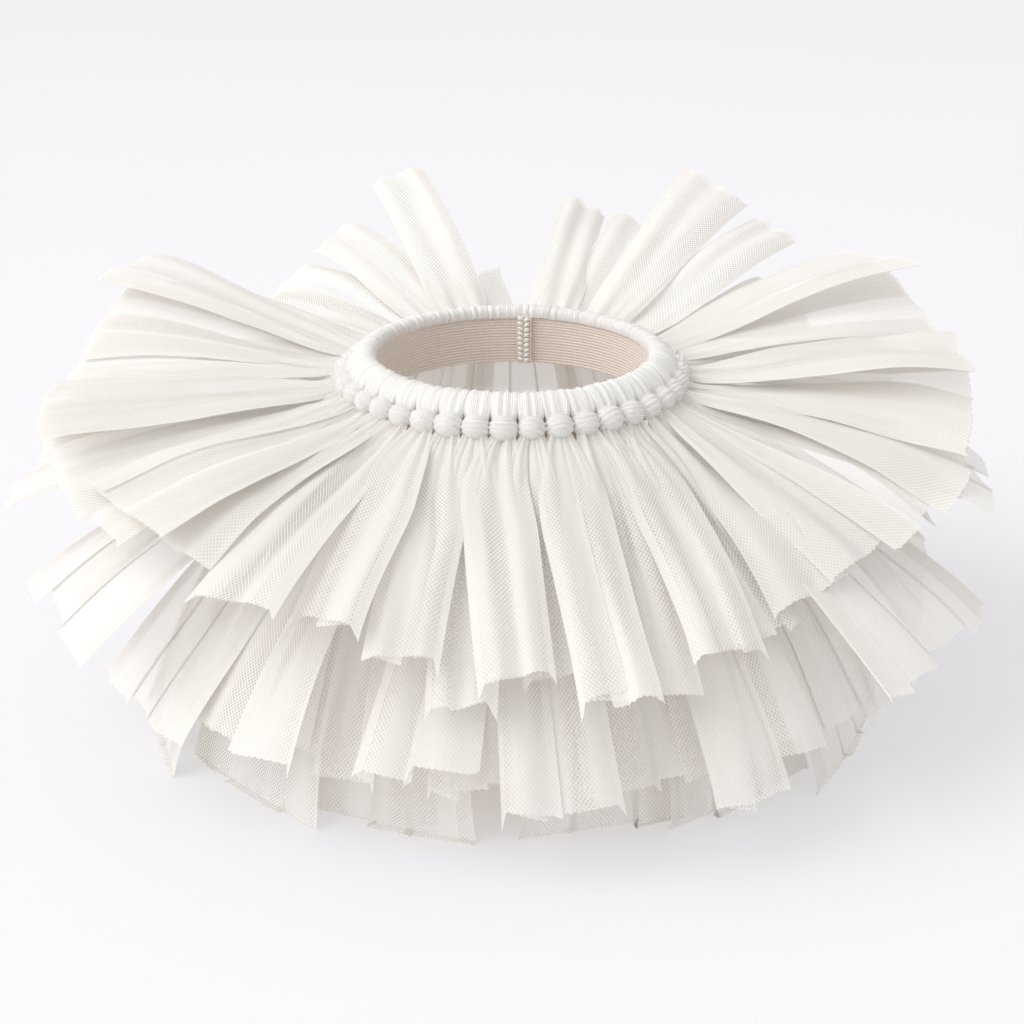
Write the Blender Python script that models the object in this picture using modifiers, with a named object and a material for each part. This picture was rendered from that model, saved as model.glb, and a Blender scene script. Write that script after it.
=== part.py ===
"""A child's ballet tutu, made the no-sew way: gathered tulle strips knotted round an elastic waistband.

Frame: metres, +Z up. The origin is on the floor in the middle of the skirt's extents, and the wearer's front
is at -Y. Sizes below are taken from the waist's own upright axis, which is a little nearer the front.
The tutu stands by itself on the hems of its lowest tails.
"""

import math
import random
from collections import namedtuple

import bmesh
import bpy
from mathutils import Matrix, Vector

# ---- Driving sizes, in metres -------------------------------------------------------------------------

WAIST_RADIUS = 0.0667  # inside of the elastic, 419 mm round
ELASTIC_WALL = 0.0015
ELASTIC_HEIGHT = 0.0254
ELASTIC_TOP = 0.1770
ELASTIC_STEPS = 60
SEAM_WIDTH = 0.008  # where the two ends of the elastic lie on each other
SEAM_TURN = 0.0065  # the seam's middle is this far to the right of the back
SEAM_STEPS = 3
SEAM_DROP = 0.0002  # the lap is a hair lower than the band, so that no faces of the two lie in one plane
MERGE = 0.00005

WAIST_X = 0.0  # the waist's axis from the origin
WAIST_Y = -0.0144

STRIP_COUNT = 40
STRIP_PITCH = math.tau / STRIP_COUNT
FIRST_STRIP = math.radians(177.3)  # the first strip is at the back; angles run from the front towards +X

TULLE_WALL = 0.0012
FLOOR_PRESS = 0.0006  # the lowest hems are pressed flat onto the floor within this height

# ---- The gathered part of a strip: over the elastic, down to its knot -----------------------------------

# One row for each section, in millimetres in the strip's own upright plane: where the section starts next to
# the elastic, where it ends on the outside, and its half width round the waist.
Gather = namedtuple("Gather", "inner_r inner_z outer_r outer_z half_width")
GATHERS = {
    "lip": Gather(66.4, 177.4, 66.2, 179.6, 5.0),
    "crown": Gather(68.4, 177.4, 69.1, 181.1, 5.2),
    "shoulder": Gather(68.5, 174.5, 74.9, 179.9, 5.2),
    "throat": Gather(72.0, 168.3, 80.9, 176.1, 4.5),
    "knot_top": Gather(73.8, 166.1, 84.7, 174.3, 5.75),
    "knot_foot": Gather(76.9, 161.7, 88.7, 169.1, 6.0),
    "neck": Gather(79.5, 159.9, 87.7, 165.1, 4.2),
    "tail_root": Gather(81.4, 158.1, 88.1, 162.7, 3.9),
}
CORNER = 0.55  # how far a section's chamfers cut in, as a share of its half sides

# ---- The two tails of a strip ---------------------------------------------------------------------------

# Where a tail leaves the knot, as a radius and a height, with its first direction in degrees below level.
Root = namedtuple("Root", "radius height dip lift_share reach")
UPPER_ROOT = Root(0.0820, 0.1655, 38, 0.35, 0.012)
LOWER_ROOT = Root(0.0835, 0.1630, 62, 0.0, 0.011)
LAST_STRETCH = 0.45  # of a tail's length, how far its last straight stretch steers the curve
SPLAY_START = 0.060  # a tail has taken up its turn and its roll this far from its root

# The upper tail of each strip, in order: degrees above level, degrees turned round the waist, and the
# length and the hem in mm. Neighbours differ by five degrees or more, so that they can lap.
Upper = namedtuple("Upper", "lift turn length hem")
UPPER_TAILS = (
    Upper(-14, 0, 124, 34),
    Upper(-3, 2, 122, 36),
    Upper(19, 3, 149, 28),
    Upper(7.5, 3, 150, 28),
    Upper(-1, 1, 146, 30),
    Upper(-6, -2, 140, 36),
    Upper(1, -1, 142, 44),
    Upper(9.5, 2, 151, 48),
    Upper(3, 1, 142, 54),
    Upper(-2.5, -1, 144, 60),
    Upper(-9, 0, 138, 74),
    Upper(-4, 1, 142, 62),
    Upper(-9, 1, 140, 66),
    Upper(-15, 2, 134, 58),
    Upper(-9, 1, 126, 48),
    Upper(-15, -3, 118, 36),
    Upper(-20.5, 6, 129, 33),
    Upper(-26, 9, 117, 30),
    Upper(-32, 11, 120, 30),
    Upper(-39, 9, 132, 28),
    Upper(-33, 6, 125, 30),
    Upper(-39, 1, 118, 30),
    Upper(-33, -4, 139, 32),
    Upper(-38.5, -7, 133, 30),
    Upper(-32, -8, 127, 28),
    Upper(-37, -6, 118, 30),
    Upper(-30, -7, 116, 32),
    Upper(-24, -6, 118, 36),
    Upper(-17, -3, 128, 48),
    Upper(-9, 0, 138, 60),
    Upper(-3, 1, 137, 70),
    Upper(3, 0, 137, 64),
    Upper(-3.5, 0, 146, 60),
    Upper(4.5, 1, 150, 56),
    Upper(11, -3, 150, 60),
    Upper(-2, 0, 120, 42),
    Upper(12.5, -3, 150, 26),
    Upper(19, -2, 150, 38),
    Upper(9.5, 2, 149, 30),
    Upper(13, 1, 149, 24),
)

# How the other tails lie, by degrees from the front, the same on the left and the right: degrees above level
# for the two middle tiers, their length and hem in mm, and where the lowest tier meets the floor and its hem.
Lie = namedtuple("Lie", "angle middle_a middle_b middle_length middle_hem floor_radius floor_hem")
LIES = (
    Lie(0, -49, -57, 162, 46, 160, 48),
    Lie(30, -47, -55, 163, 52, 164, 52),
    Lie(50, -39, -50, 166, 68, 176, 62),
    Lie(70, -26, -40, 164, 86, 188, 72),
    Lie(90, -18, -33, 160, 88, 190, 72),
    Lie(120, -13, -28, 157, 78, 186, 68),
    Lie(150, -16, -30, 155, 62, 174, 60),
    Lie(180, -24, -36, 155, 54, 165, 54),
)
LOWER_TIERS = ("low", "middle_a", "middle_b")  # in turn, going both ways from the first strip

# Where the sections of a tail lie along its curve, from 0 to 1.
TAIL_STATIONS = (0.0, 0.17, 0.36, 0.66, 1.0)
# The width of a tail against the distance from its root, in metres. Past the table it widens to its hem.
UPPER_WIDTHS = ((0.0, 0.0066), (0.010, 0.0096), (0.024, 0.0134), (0.050, 0.0192))
LOWER_WIDTHS = ((0.0, 0.0066), (0.010, 0.0096), (0.024, 0.0136), (0.050, 0.0225))
FOLDS = 2
FOLD_DEPTH_ROOT = 0.0007
FOLD_DEPTH_HEM = 0.0034
ARCH = 0.0030  # a tail is arched across its width
DROOP = math.radians(9)  # a tail's hem hangs this much more steeply than its lift
FLOOR_DROOP = math.radians(14)
FOOT_LENGTH = 0.011  # the stretch of a lowest tail that lies on the floor
FOOT_EASE = 0.35  # the last share of a lowest tail, over which its folds press flat

TURN_SPREAD = math.radians(2.5)
LIFT_SPREAD = math.radians(0.8)
ROLL_SPREAD = math.radians(5)
LENGTH_SPREAD = 0.045
FOLD_SPREAD = 0.25  # how far a fold strays sideways, as a share of its width
HEM_CUT = 0.030  # the cut end is uneven by this share of the tail's length

COLOURS = {"tulle": (0.86, 0.84, 0.80, 1.0), "elastic": (0.82, 0.76, 0.72, 1.0)}
ROUGHNESS = {"tulle": 0.85, "elastic": 0.75}


def new_material(name):
    material = bpy.data.materials.new(name)
    material.use_nodes = True
    shader = material.node_tree.nodes["Principled BSDF"]
    shader.inputs["Base Color"].default_value = COLOURS[name]
    shader.inputs["Roughness"].default_value = ROUGHNESS[name]
    shader.inputs["Metallic"].default_value = 0.0
    return material


def new_object(name, points, faces, collection, material):
    mesh = bpy.data.meshes.new(name)
    mesh.from_pydata([tuple(p) for p in points], [], faces)
    mesh.materials.append(material)
    obj = bpy.data.objects.new(name, mesh)
    collection.objects.link(obj)
    return face_outwards(obj)


def face_outwards(obj):
    shape = bmesh.new()
    shape.from_mesh(obj.data)
    bmesh.ops.recalc_face_normals(shape, faces=shape.faces)
    shape.to_mesh(obj.data)
    shape.free()
    return obj


def baked(obj):
    """The object with its modifiers applied, in place."""
    graph = bpy.context.evaluated_depsgraph_get()
    mesh = bpy.data.meshes.new_from_object(obj.evaluated_get(graph))
    obj.modifiers.clear()
    obj.data = mesh
    return face_outwards(obj)


def union(obj, *others):
    """obj and the others as one closed body; the others are removed."""
    for other in others:
        joint = obj.modifiers.new("join", "BOOLEAN")
        joint.operation = "UNION"
        joint.solver = "EXACT"
        joint.object = other
    baked(obj)
    for other in others:
        bpy.data.objects.remove(other)
    return obj


def ring_faces(rings, around, closed):
    """Quads between rings of points that follow each other, each with the same number of points."""
    last = around if closed else around - 1
    return [
        (
            k * around + j,
            k * around + (j + 1) % around,
            (k + 1) * around + (j + 1) % around,
            (k + 1) * around + j,
        )
        for k in range(rings - 1)
        for j in range(last)
    ]


# ---- Elastic --------------------------------------------------------------------------------------------


def turned_band(name, inner, outer, start, turn, steps, collection, material):
    """A flat band of the elastic's height, turned about the waist's axis from start through turn."""
    bottom, top = ELASTIC_TOP - ELASTIC_HEIGHT, ELASTIC_TOP
    profile = [(outer, top), (outer, bottom), (inner, bottom), (inner, top)]
    mesh = bpy.data.meshes.new(name)
    mesh.from_pydata([(r, 0, z) for r, z in profile], [(0, 1), (1, 2), (2, 3), (3, 0)], [])
    mesh.transform(Matrix.Rotation(start, 4, "Z"))
    mesh.materials.append(material)
    band = bpy.data.objects.new(name, mesh)
    collection.objects.link(band)
    screw = band.modifiers.new("turn", "SCREW")
    screw.angle = turn
    screw.steps = screw.render_steps = steps
    screw.use_merge_vertices = abs(turn) == math.tau
    screw.merge_threshold = MERGE
    return baked(band)


def close_ends(obj):
    """Caps the two open ends of a band that doesn't go all the way round."""
    shape = bmesh.new()
    shape.from_mesh(obj.data)
    bmesh.ops.holes_fill(shape, edges=shape.edges)
    shape.to_mesh(obj.data)
    shape.free()
    return face_outwards(obj)


def build_elastic(collection, material):
    """The elastic loop, with its end lapped over its start on the inside at the back."""
    outer = WAIST_RADIUS + ELASTIC_WALL
    band = turned_band(
        "elastic_band", WAIST_RADIUS, outer, 0, math.tau, ELASTIC_STEPS, collection, material
    )
    back = math.pi / 2
    middle = back - SEAM_TURN / WAIST_RADIUS
    turn = SEAM_WIDTH / WAIST_RADIUS
    lap = turned_band(
        "lap",
        WAIST_RADIUS - ELASTIC_WALL,
        WAIST_RADIUS + ELASTIC_WALL / 2,
        middle - turn / 2,
        turn,
        SEAM_STEPS,
        collection,
        material,
    )
    lap.data.transform(Matrix.Translation((0, 0, -SEAM_DROP)))
    return union(band, close_ends(lap))


# ---- One strip ------------------------------------------------------------------------------------------


def strip_angle(index):
    return FIRST_STRIP + index * STRIP_PITCH


def from_plane(angle, radius, side, height):
    """A point of the plane that stands on the waist's axis at this angle, moved sideways by side."""
    out = Vector((math.sin(angle), -math.cos(angle), 0))
    along = Vector((math.cos(angle), math.sin(angle), 0))
    return out * radius + along * side + Vector((0, 0, height))


def build_gather(name, angle, collection, material):
    """The gathered stretch of a strip: a closed loft over the elastic's edge, down to and through the knot."""
    across = (-1, -CORNER, CORNER, 1, 1, CORNER, -CORNER, -1)
    deep = (CORNER, 1, 1, CORNER, -CORNER, -1, -1, -CORNER)
    points = []
    for row in GATHERS.values():
        middle_r, middle_z = (row.inner_r + row.outer_r) / 2000, (row.inner_z + row.outer_z) / 2000
        half_r, half_z = (row.outer_r - row.inner_r) / 2000, (row.outer_z - row.inner_z) / 2000
        for a, d in zip(across, deep):
            side = a * row.half_width / 1000
            points.append(from_plane(angle, middle_r + d * half_r, side, middle_z + d * half_z))
    around, rings = len(across), len(GATHERS)
    faces = ring_faces(rings, around, closed=True)
    faces.append(tuple(range(around - 1, -1, -1)))
    faces.append(tuple(range((rings - 1) * around, rings * around)))
    return new_object(name, points, faces, collection, material)


def bezier(a, b, c, d, t):
    """A point of a cubic curve and its direction there."""
    u = 1 - t
    point = a * u**3 + b * (3 * u * u * t) + c * (3 * u * t * t) + d * t**3
    slope = (b - a) * (u * u) + (c - b) * (2 * u * t) + (d - c) * (t * t)
    return point, slope.normalized()


def smooth(x):
    x = min(max(x, 0.0), 1.0)
    return x * x * (3 - 2 * x)


def between(table, x):
    """The second column of a table, read off at x in its first."""
    for (x0, y0), (x1, y1) in zip(table, table[1:]):
        if x <= x1:
            return y0 + (y1 - y0) * (x - x0) / (x1 - x0)
    return table[-1][1]


def lie_at(field, angle):
    """One column of LIES at an angle round the waist."""
    from_back = abs(math.degrees(angle) % 360 - 180)
    return between([(row.angle, getattr(row, field)) for row in LIES], 180 - from_back)


def lower_attitude(tier, angle, dice):
    """The lift, turn, length and hem of a lower tail."""
    lift_spread = dice.uniform(-1, 1) * LIFT_SPREAD
    turn = dice.uniform(-1, 1) * TURN_SPREAD
    spread = 1 + dice.uniform(-1, 1) * LENGTH_SPREAD
    if tier == "low":
        run = lie_at("floor_radius", angle) / 1000 - FOOT_LENGTH - LOWER_ROOT.radius
        fall = LOWER_ROOT.height - TULLE_WALL / 2
        return -math.atan2(fall, run), turn, math.hypot(run, fall), lie_at("floor_hem", angle) / 1000
    lift = math.radians(lie_at(tier, angle)) + lift_spread
    length = lie_at("middle_length", angle) / 1000 * spread
    return lift, turn, length, lie_at("middle_hem", angle) / 1000


def tail_curve(root, lift, length, droop):
    """The four control points of a tail in its upright plane, as (radius, height)."""
    start = Vector((root.radius, root.height))
    dip = math.radians(root.dip) - lift * root.lift_share
    first = start + Vector((math.cos(dip), -math.sin(dip))) * root.reach
    tip = start + Vector((math.cos(lift), math.sin(lift))) * length
    last = lift - droop
    third = tip - Vector((math.cos(last), math.sin(last))) * (length * LAST_STRETCH)
    return start, first, third, tip


def tail_points(angle, root, attitude, widths, on_floor, dice):
    """The points of a tail's middle surface, a row for each section."""
    lift, turn, length, hem = attitude
    curve = tail_curve(root, lift, length, FLOOR_DROOP if on_floor else DROOP)
    widths = (*widths, (length, hem))
    columns = 2 * FOLDS + 1
    roll = 0.0 if on_floor else dice.uniform(-1, 1) * ROLL_SPREAD
    strays = [dice.uniform(-1, 1) * FOLD_SPREAD / FOLDS for _ in range(columns)]
    cuts = [dice.uniform(-1, 1) * HEM_CUT * length for _ in range(columns)]
    strays[0] = strays[-1] = 0.0
    stations = [(t, 0.0) for t in TAIL_STATIONS]
    if on_floor:
        stations.append((1.0, FOOT_LENGTH))
    last = stations[-1]
    rows = []
    for station in stations:
        t, foot = station
        (radius, height), (run, rise) = bezier(*curve, t)
        if on_floor and t == 1.0:
            run, rise = 1.0, 0.0
        radius += foot
        reach = math.hypot(radius - root.radius, height - root.height)
        spread = smooth(reach / length)
        flat = smooth((1 - t) / FOOT_EASE) if on_floor else 1.0
        depth = (FOLD_DEPTH_ROOT + (FOLD_DEPTH_HEM - FOLD_DEPTH_ROOT) * spread) * flat
        half_width = between(widths, reach) / 2
        lean = roll * spread
        turned = turn * smooth(reach / SPLAY_START)
        row = []
        for j in range(columns):
            x = 2 * j / (columns - 1) - 1 + strays[j] * spread
            side = x * half_width
            out = depth * (1 if j % 2 else -1) + ARCH * spread * flat * (1 - x * x)
            side, out = (
                side * math.cos(lean) - out * math.sin(lean),
                side * math.sin(lean) + out * math.cos(lean),
            )
            # The section is square to the tail's direction; its outward side is up and away from the axis.
            cut = cuts[j] if station == last else 0.0
            away = radius - rise * out + run * cut - root.radius
            row.append(
                from_plane(
                    angle,
                    root.radius + away * math.cos(turned) - side * math.sin(turned),
                    side * math.cos(turned) + away * math.sin(turned),
                    height + run * out + rise * cut,
                )
            )
        rows.append(row)
    return rows


def build_tail(rows, collection, material):
    """A tail as a wall of tulle: its middle surface, thickened."""
    columns = len(rows[0])
    points = [p for row in rows for p in row]
    tail = new_object("tail", points, ring_faces(len(rows), columns, closed=False), collection, material)
    wall = tail.modifiers.new("wall", "SOLIDIFY")
    wall.thickness = TULLE_WALL
    wall.offset = 0
    wall.use_even_offset = True
    return baked(tail)


def press_onto_floor(obj):
    for vertex in obj.data.vertices:
        if vertex.co.z < FLOOR_PRESS:
            vertex.co.z = 0.0


def build_strip(index, collection, material):
    """One strip of tulle: gathered over the elastic, knotted, and left in two tails."""
    angle = strip_angle(index)
    dice = random.Random(index)
    upper = UPPER_TAILS[index]
    attitude = (math.radians(upper.lift), math.radians(upper.turn), upper.length / 1000, upper.hem / 1000)
    upper_rows = tail_points(angle, UPPER_ROOT, attitude, UPPER_WIDTHS, False, dice)
    tier = LOWER_TIERS[min(index, STRIP_COUNT - index) % len(LOWER_TIERS)]
    attitude = lower_attitude(tier, angle, dice)
    lower_rows = tail_points(angle, LOWER_ROOT, attitude, LOWER_WIDTHS, tier == "low", dice)
    strip = build_gather(f"tulle_strip_{index + 1:02d}", angle, collection, material)
    union(strip, *(build_tail(rows, collection, material) for rows in (upper_rows, lower_rows)))
    press_onto_floor(strip)
    return strip


def main():
    for obj in list(bpy.data.objects):
        bpy.data.objects.remove(obj)
    collection = bpy.data.collections.new("ballet_tutu")
    bpy.context.scene.collection.children.link(collection)
    tulle = new_material("tulle")
    elastic = new_material("elastic")
    build_elastic(collection, elastic)
    for index in range(STRIP_COUNT):
        build_strip(index, collection, tulle)
    # The origin is in the middle of what the tails cover, not under the waist.
    for obj in collection.objects:
        obj.data.transform(Matrix.Translation((WAIST_X, WAIST_Y, 0)))


main()
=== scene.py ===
# %% [markdown]
# # A child's ballet tutu in soft tulle
#
# This tutu is made without sewing. Forty strips of tulle are folded over a wide elastic, each one is
# gathered to the width of a finger, knotted under the elastic, and left with two long tails. The tails are
# what we see as the skirt. We start by loading the measured model: its solids tell us where every strip
# lies, and what we model here goes over them at the same size.

# %% Load the frame
import random
from collections import namedtuple
from math import atan, atan2, copysign, cos, degrees, exp, hypot, pi, radians, sin, tan, tau

import bpy
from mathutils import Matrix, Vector


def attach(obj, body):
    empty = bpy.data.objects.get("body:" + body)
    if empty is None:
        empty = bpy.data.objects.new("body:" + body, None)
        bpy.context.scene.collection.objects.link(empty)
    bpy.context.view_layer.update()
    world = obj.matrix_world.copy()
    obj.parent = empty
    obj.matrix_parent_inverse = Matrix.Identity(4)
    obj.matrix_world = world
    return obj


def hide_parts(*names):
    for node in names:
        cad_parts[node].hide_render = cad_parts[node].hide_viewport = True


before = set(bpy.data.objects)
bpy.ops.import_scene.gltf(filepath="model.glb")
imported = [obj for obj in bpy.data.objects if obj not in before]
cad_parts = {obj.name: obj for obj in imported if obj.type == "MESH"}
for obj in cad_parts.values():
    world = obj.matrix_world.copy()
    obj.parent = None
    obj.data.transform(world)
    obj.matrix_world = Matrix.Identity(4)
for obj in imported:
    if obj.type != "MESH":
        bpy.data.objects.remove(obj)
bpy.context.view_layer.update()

# %% [markdown]
# ## Camera
#
# A long lens a metre away keeps the round waist round. The camera looks down by about 22 degrees, so that
# we see into the waist and over the front of the skirt at once.

# %% Camera
LENS_MM = 70
CAMERA_PLACE = (0.0, -0.9314, 0.469)
CAMERA_DIP = radians(22.2)

bpy.ops.object.camera_add(location=CAMERA_PLACE, rotation=(pi / 2 - CAMERA_DIP, 0, 0))
camera = bpy.context.object
camera.name = "studio_camera"
camera.data.lens = LENS_MM
camera.data.sensor_width = 36
bpy.context.scene.camera = camera
print("camera:", CAMERA_PLACE, "lens:", camera.data.lens)

# %% [markdown]
# ## Colours and nodes
#
# Colours are chosen on a screen, so they are written as sRGB hex values, and one function turns them into
# the linear values that a shader works with. The others add one node with its settings and its links, start
# a finish and feed its shader, so each finish below stays a short list.

# %% Helpers for materials
def linear(hex_colour):
    """An sRGB hex colour as linear red, green, blue and alpha."""
    channels = [int(hex_colour[i : i + 2], 16) / 255 for i in (1, 3, 5)]
    return (*(c / 12.92 if c <= 0.04045 else ((c + 0.055) / 1.055) ** 2.4 for c in channels), 1.0)


def add_node(owner, kind, links=None, sockets=None, out=0, **properties):
    """Adds a node with its properties, its sockets' values and its links, and gives its output."""
    node = owner.node_tree.nodes.new(kind)
    for name, value in properties.items():
        setattr(node, name, value)
    for socket, value in (sockets or {}).items():
        node.inputs[socket].default_value = value
    for socket, source in (links or {}).items():
        owner.node_tree.links.new(source, node.inputs[socket])
    return node.outputs[out]


def new_finish(name, place, **sockets):
    """A material with one Principled shader, and the socket that places its patterns."""
    material = bpy.data.materials.new(name)
    material.use_nodes = True
    shader = material.node_tree.nodes["Principled BSDF"]
    for socket, value in sockets.items():
        shader.inputs[socket.replace("_", " ")].default_value = value
    return material, add_node(material, "ShaderNodeTexCoord", out=place)


def feed(material, **sources):
    """Links each source to the shader's socket of that name."""
    shader = material.node_tree.nodes["Principled BSDF"]
    for socket, source in sources.items():
        material.node_tree.links.new(source, shader.inputs[socket.replace("_", " ")])


print("white as linear values:", linear("#FFFFFF"))

# %% [markdown]
# ## Floor
#
# White tulle on white paper keeps its outline only if both are lit evenly and from all sides. So the paper
# glows faintly, as on a light table, a little less with distance, and lights the tutu from below too. Under
# the skirt that glow is painted dimmer and warmer as painted shade, or the inside of the waist would be the
# brightest place.

# %% Floor
FLOOR_SIZE = 120.0
PAPER_CLOUD = 1.5  # soft clouds of tone in a metre
TABLE_MIDDLE = (-0.35, -0.30, 0.0)
TABLE_GLOW = ((0.25, 0.42), (2.60, 0.33))  # two distances from there, and the glow at each
PAINTED_SHADE_EDGE = (0.110, 0.190)  # how far from the origin the painted shade's soft edge starts and ends
# The paper's glow under the skirt, painted dimmer as shade.
GLOW_IN_PAINTED_SHADE = 0.36

bpy.ops.mesh.primitive_plane_add(size=FLOOR_SIZE)
floor = bpy.context.object
floor.name = "paper_floor"

# Matt coated paper: hardly any gloss, and a white that the light fills.
paper, on_paper = new_finish("matt_white_paper", "Object", Roughness=0.9, Specular_IOR_Level=0.15)
cloud = add_node(
    paper, "ShaderNodeTexNoise", {"Vector": on_paper}, sockets={"Scale": PAPER_CLOUD, "Detail": 3.0}
)
paper_tone = add_node(
    paper, "ShaderNodeMix", {0: cloud}, data_type="RGBA",
    sockets={6: linear("#BCBBBE"), 7: linear("#C0BFC2")}, out=2,
)
from_middle = add_node(
    paper, "ShaderNodeVectorMath", {0: on_paper}, operation="DISTANCE", sockets={1: TABLE_MIDDLE},
    out="Value",
)
(near, near_glow), (far, far_glow) = TABLE_GLOW
glow = add_node(
    paper, "ShaderNodeMapRange", {"Value": from_middle},
    sockets={"From Min": near, "From Max": far, "To Min": near_glow, "To Max": far_glow},
)
from_axis = add_node(paper, "ShaderNodeVectorMath", {0: on_paper}, operation="LENGTH", out="Value")
# Painted shade: under the skirt the paper's glow is painted dimmer and warmer, towards a beige.
outside_painted_shade = add_node(
    paper, "ShaderNodeMapRange", {"Value": from_axis}, interpolation_type="SMOOTHSTEP",
    sockets={"From Min": PAINTED_SHADE_EDGE[0], "From Max": PAINTED_SHADE_EDGE[1]},
)
strength = add_node(paper, "ShaderNodeMix", {0: outside_painted_shade, 3: glow}, sockets={2: GLOW_IN_PAINTED_SHADE})
glow_tone_with_painted_shade = add_node(
    paper, "ShaderNodeMix", {0: outside_painted_shade}, data_type="RGBA",
    sockets={6: linear("#F2E6D6"), 7: linear("#FBFAFD")}, out=2,
)
feed(paper, Base_Color=paper_tone, Emission_Color=glow_tone_with_painted_shade, Emission_Strength=strength)
floor.data.materials.append(paper)
print("floor:", floor.name, FLOOR_SIZE, "m, glow:", near_glow, "to", far_glow)

# %% [markdown]
# ## Light
#
# One big soft light comes from the left. A sun lamp with a wide angle stands in for a large softbox: its
# shadows are as soft, and it lights the far paper as evenly as the near. The rest is the room's own light,
# a little brighter on the left and above: we add the dot product of a ray's direction and a short vector.

# %% Light
KEY_DIRECTION = Vector((0.90, 0.30, -0.95))  # the way the light travels
KEY_SOFTNESS = radians(52)
KEY_POWER = 1.35
ROOM_LIGHT = 0.69
ROOM_LEAN = (-0.13, -0.02, 0.15)  # towards where the room is brighter
MOST_LAYERS = 10  # of tulle that a ray may cross: past that nothing would come through

bpy.ops.object.light_add(type="SUN", rotation=KEY_DIRECTION.to_track_quat("-Z", "Y").to_euler())
key = bpy.context.object
key.name = "soft_key"
key.data.energy = KEY_POWER
key.data.angle = KEY_SOFTNESS

room = bpy.data.worlds.new("pale_room")
room.use_nodes = True
room_way = add_node(room, "ShaderNodeTexCoord", out="Generated")
room_side = add_node(
    room, "ShaderNodeVectorMath", {0: room_way}, operation="DOT_PRODUCT", sockets={1: ROOM_LEAN},
    out="Value",
)
room_light = add_node(room, "ShaderNodeMath", {0: room_side}, operation="ADD", sockets={1: ROOM_LIGHT})
room_shader = room.node_tree.nodes["Background"]
room_shader.inputs["Color"].default_value = linear("#FFFFFF")
room.node_tree.links.new(room_light, room_shader.inputs["Strength"])

stage = bpy.context.scene
stage.world = room
stage.view_settings.view_transform = "Standard"
stage.cycles.transparent_max_bounces = MOST_LAYERS
stage.cycles.use_light_tree = False  # there are only three lights to choose from
print("light:", key.name, key.data.energy, "room:", ROOM_LIGHT)

# %% [markdown]
# ## Tulle
#
# Tulle is a machine-made net of fine nylon thread, with cells like diamonds about 2 mm across. One layer is
# barely there; two or three close up and turn white, so a folded edge looks brighter than its flat. The
# material must really be open between its threads for that. Two sets of slanting lines are drawn on the
# cloth's own UV map, which is in metres, and the cells between them let light through: less along fine
# creases and near the knot, where the cloth lies double.

# %% Tulle net
CELL_WIDTH = 0.0020  # across the strip
CELL_LENGTH = 0.0023  # along it
THREAD = 0.00034  # coarser and fainter than the real one of 0.15 mm, which would vanish between pixels
THREAD_EDGE = (0.25, 0.75)  # in threads from its middle, where its cover starts and ends to fade
CREASE = (0.0120, 0.110)  # a fine crease's width and length
CREASED = (0.37, 0.58)  # the noise values between which the cloth goes from single to double
CLOSED = 0.62  # what a cell covers where the cloth lies double
GATHERED_REACH = (0.010, 0.065)  # from the knot, where the cells are closed and where they are open

slant = atan2(CELL_WIDTH, CELL_LENGTH)
line_gap = CELL_WIDTH * cos(slant)


def new_net(name, thread, on_thread, in_cells):
    """A net finish: how thick its lines are, and how much a line and a cell of it cover."""
    # Dull nylon: a soft sheen at a grazing angle, and no clear highlight.
    net, on_cloth = new_finish(
        name, "UV", Roughness=0.6, Sheen_Weight=0.25, Sheen_Roughness=0.45, Specular_IOR_Level=0.3,
        IOR=1.53,
    )
    distances = []
    for side in (-1, 1):
        across = add_node(
            net, "ShaderNodeVectorMath", {0: on_cloth}, operation="DOT_PRODUCT",
            sockets={1: (cos(slant), side * sin(slant), 0)}, out="Value",
        )
        distances.append(
            add_node(net, "ShaderNodeMath", {0: across}, operation="PINGPONG", sockets={1: line_gap / 2})
        )
    nearest = add_node(net, "ShaderNodeMath", {0: distances[0], 1: distances[1]}, operation="MINIMUM")
    stretched = add_node(
        net, "ShaderNodeMapping", {"Vector": on_cloth},
        sockets={"Scale": (1 / CREASE[0], 1 / CREASE[1], 1)},
    )
    creases = add_node(
        net, "ShaderNodeTexNoise", {"Vector": stretched}, sockets={"Scale": 1.0, "Detail": 0.0}
    )
    creased = add_node(
        net, "ShaderNodeMapRange", {"Value": creases}, interpolation_type="SMOOTHSTEP",
        sockets={"From Min": CREASED[0], "From Max": CREASED[1], "To Min": in_cells, "To Max": CLOSED},
    )
    reach = add_node(net, "ShaderNodeSeparateXYZ", {0: on_cloth}, out="Y")
    start, end = GATHERED_REACH
    drawn = add_node(
        net, "ShaderNodeMapRange", {"Value": reach}, interpolation_type="SMOOTHSTEP",
        sockets={"From Min": start, "From Max": end, "To Min": CLOSED, "To Max": in_cells},
    )
    in_cell = add_node(net, "ShaderNodeMath", {0: creased, 1: drawn}, operation="MAXIMUM")
    start, end = (thread * edge for edge in THREAD_EDGE)
    cover = add_node(
        net, "ShaderNodeMapRange", {"Value": nearest, "To Max": in_cell}, interpolation_type="SMOOTHSTEP",
        sockets={"From Min": start, "From Max": end, "To Min": on_thread},
    )
    tone = add_node(
        net, "ShaderNodeMix", {0: creases}, data_type="RGBA",
        sockets={6: linear("#F6F2EC"), 7: linear("#FAF7F2")}, out=2,
    )
    feed(net, Base_Color=tone, Alpha=cover)
    return net


tulle_net = new_net("soft_nylon_tulle_net", THREAD, 0.72, 0.28)
rolled_net = new_net("rolled_nylon_tulle_edge", THREAD * 1.4, 0.74, 0.62)
doubled_net = new_net("doubled_nylon_tulle_net", THREAD, 0.74, 0.54)
print("net: one line every", round(line_gap * 1000, 2), "mm")

# %% [markdown]
# ## Gathered tulle
#
# Over the elastic and in the knot a strip of 152 mm is drawn together to 12 mm. Some twelve layers lie on
# each other there, so nothing shows through, and the eye reads fine ridges that run along the gathers. The
# valleys between them are painted a little darker, as painted shade.

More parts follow.
